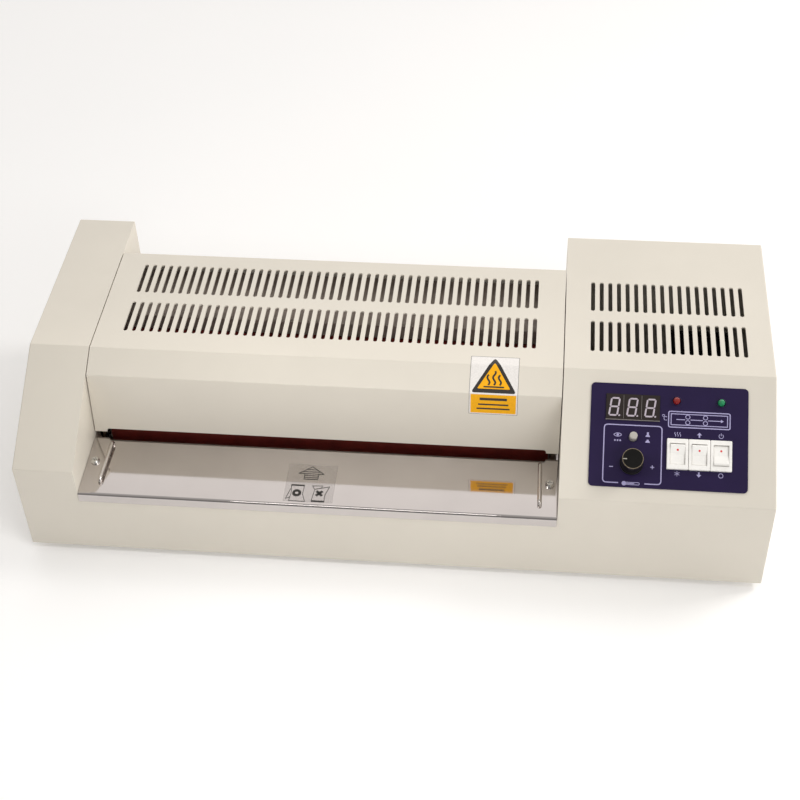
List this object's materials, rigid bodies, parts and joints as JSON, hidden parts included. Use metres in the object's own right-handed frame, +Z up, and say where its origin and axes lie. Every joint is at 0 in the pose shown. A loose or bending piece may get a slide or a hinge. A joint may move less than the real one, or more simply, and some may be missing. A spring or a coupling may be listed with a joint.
{
  "type": "pouch laminator",
  "caption": "Desktop pouch laminator: steel casing with sloped end boxes, vented cover, polished feed tray, heated rollers, gear train and a control panel with display, knob and rockers.",
  "frame": {"origin": "on the surface the feet stand on, under the middle of the machine's bounding box", "axes": "+X to the operator's right along the rollers, +Y from the operator to the back along the film's path, +Z up"},
  "size_m": [0.5348, 0.2316, 0.13],
  "materials": {
    "casing_paint": "satin powder coat",
    "polished_steel": "mirror polished",
    "zinc_steel": "zinc plated",
    "shaft_steel": "ground",
    "guide_wire_steel": "bright nickel",
    "spring_steel": "bright",
    "bronze": "machined",
    "red_silicone": "ground",
    "gear_nylon": "moulded",
    "motor_paint": "satin",
    "quartz": "clear",
    "foot_rubber": "moulded",
    "panel_film": "printed polycarbonate",
    "digit_plastic": "smoked",
    "circuit_board": "solder mask",
    "red_lens": "tinted",
    "green_lens": "tinted",
    "switch_white": "moulded",
    "knob_black": "moulded",
    "knob_chrome": "plated",
    "button_grey": "moulded",
    "black_plastic": "moulded",
    "transformer_iron": "varnished",
    "screw_steel": "nickel plated"
  },
  "bodies": {
    "chassis": {"main_casing": "casing_paint", "bottom_plate": "casing_paint", "middle_cover": "casing_paint", "feed_tray": "polished_steel", "exit_tray": "polished_steel", "left_guide_wire": "guide_wire_steel", "right_guide_wire": "guide_wire_steel", "left_frame": "zinc_steel", "right_frame": "zinc_steel", "tie_bars": "zinc_steel", "guide_plates": "zinc_steel", "heat_shield": "zinc_steel", "lower_bushes": "bronze", "front_springs": "spring_steel", "rear_springs": "spring_steel", "spring_bridges": "zinc_steel", "idler_stud": "zinc_steel", "motor_gearbox": "motor_paint", "motor_can": "motor_paint", "motor_bracket": "zinc_steel", "heater_lamps": "quartz", "lamp_brackets": "zinc_steel", "m4_screws": "screw_steel", "rubber_feet": "foot_rubber", "control_panel": "panel_film", "display_digits": "digit_plastic", "panel_board": "circuit_board", "red_led": "red_lens", "green_led": "green_lens", "switch_housings": "switch_white", "potentiometer": "shaft_steel", "fan_frame": "black_plastic", "power_inlet": "black_plastic", "control_board": "circuit_board", "transformer": "transformer_iron"},
    "front_carriage": {"front_bearing_blocks": "bronze"},
    "rear_carriage": {"rear_bearing_blocks": "bronze"},
    "front_lower_roller": {"front_lower_core": "shaft_steel", "front_lower_sleeve": "red_silicone", "front_lower_gear": "gear_nylon", "drive_gear": "shaft_steel"},
    "front_upper_roller": {"front_upper_core": "shaft_steel", "front_upper_sleeve": "red_silicone", "front_upper_gear": "gear_nylon"},
    "rear_lower_roller": {"rear_lower_core": "shaft_steel", "rear_lower_sleeve": "red_silicone", "rear_lower_gear": "gear_nylon"},
    "rear_upper_roller": {"rear_upper_core": "shaft_steel", "rear_upper_sleeve": "red_silicone", "rear_upper_gear": "gear_nylon"},
    "idler": {"idler_gear": "gear_nylon"},
    "pinion": {"motor_pinion": "shaft_steel"},
    "fan": {"fan_rotor": "black_plastic"},
    "knob": {"temperature_knob": "knob_black", "knob_ring": "knob_chrome", "knob_shaft": "shaft_steel"},
    "button": {"set_button": "button_grey"},
    "heat_switch": {"heat_rocker": "switch_white"},
    "direction_switch": {"direction_rocker": "switch_white"},
    "power_switch": {"power_rocker": "switch_white"}
  },
  "joints": [
    {"name": "front_nip_lift", "type": "slide", "parent": "chassis", "child": "front_carriage", "axis": [0, 0, 1], "range_m": [0, 0.0015], "stiffness_N_per_m": 8000, "springref_m": -0.004, "deforming": ["front_springs"]},
    {"name": "rear_nip_lift", "type": "slide", "parent": "chassis", "child": "rear_carriage", "axis": [0, 0, 1], "range_m": [0, 0.0015], "stiffness_N_per_m": 8000, "springref_m": -0.004, "deforming": ["rear_springs"]},
    {"name": "front_lower_spin", "type": "hinge", "parent": "chassis", "child": "front_lower_roller", "pos_m": [0, -0.035, 0.053], "axis": [1, 0, 0], "continuous": true},
    {"name": "front_upper_spin", "type": "hinge", "parent": "front_carriage", "child": "front_upper_roller", "pos_m": [0, -0.035, 0.0812], "axis": [1, 0, 0], "continuous": true},
    {"name": "rear_lower_spin", "type": "hinge", "parent": "chassis", "child": "rear_lower_roller", "pos_m": [0, 0.029, 0.053], "axis": [1, 0, 0], "continuous": true},
    {"name": "rear_upper_spin", "type": "hinge", "parent": "rear_carriage", "child": "rear_upper_roller", "pos_m": [0, 0.029, 0.0812], "axis": [1, 0, 0], "continuous": true},
    {"name": "idler_spin", "type": "hinge", "parent": "chassis", "child": "idler", "pos_m": [0, -0.003, 0.053], "axis": [1, 0, 0], "continuous": true},
    {"name": "motor_spin", "type": "hinge", "parent": "chassis", "child": "pinion", "pos_m": [0, -0.00943, 0.048], "axis": [1, 0, 0], "continuous": true},
    {"name": "fan_spin", "type": "hinge", "parent": "chassis", "child": "fan", "pos_m": [0.255, -0.018, 0.073], "axis": [1, 0, 0], "continuous": true},
    {"name": "knob_turn", "type": "hinge", "parent": "chassis", "child": "knob", "pos_m": [0.1671, -0.09182, 0.09645], "axis": [0, -0.5019, 0.8649], "range_deg": [-225, 45]},
    {"name": "button_press", "type": "slide", "parent": "chassis", "child": "button", "axis": [0, 0.5019, -0.8649], "range_m": [0, 0.0012], "stiffness_N_per_m": 300, "springref_m": -0.003},
    {"name": "heat_tilt", "type": "hinge", "parent": "chassis", "child": "heat_switch", "pos_m": [0.198, -0.08511, 0.10103], "axis": [1, 0, 0], "range_deg": [-22, 0]},
    {"name": "direction_tilt", "type": "hinge", "parent": "chassis", "child": "direction_switch", "pos_m": [0.21273, -0.08511, 0.10103], "axis": [1, 0, 0], "range_deg": [-22, 0]},
    {"name": "power_tilt", "type": "hinge", "parent": "chassis", "child": "power_switch", "pos_m": [0.22746, -0.08511, 0.10103], "axis": [1, 0, 0], "range_deg": [0, 22]}
  ],
  "couplings": [
    {"joint": "front_upper_spin", "follows": "front_lower_spin", "ratio": -1},
    {"joint": "idler_spin", "follows": "front_lower_spin", "ratio": -0.77778},
    {"joint": "rear_lower_spin", "follows": "front_lower_spin", "ratio": 1},
    {"joint": "rear_upper_spin", "follows": "front_lower_spin", "ratio": -1},
    {"joint": "motor_spin", "follows": "front_lower_spin", "ratio": -3.3333}
  ]
}
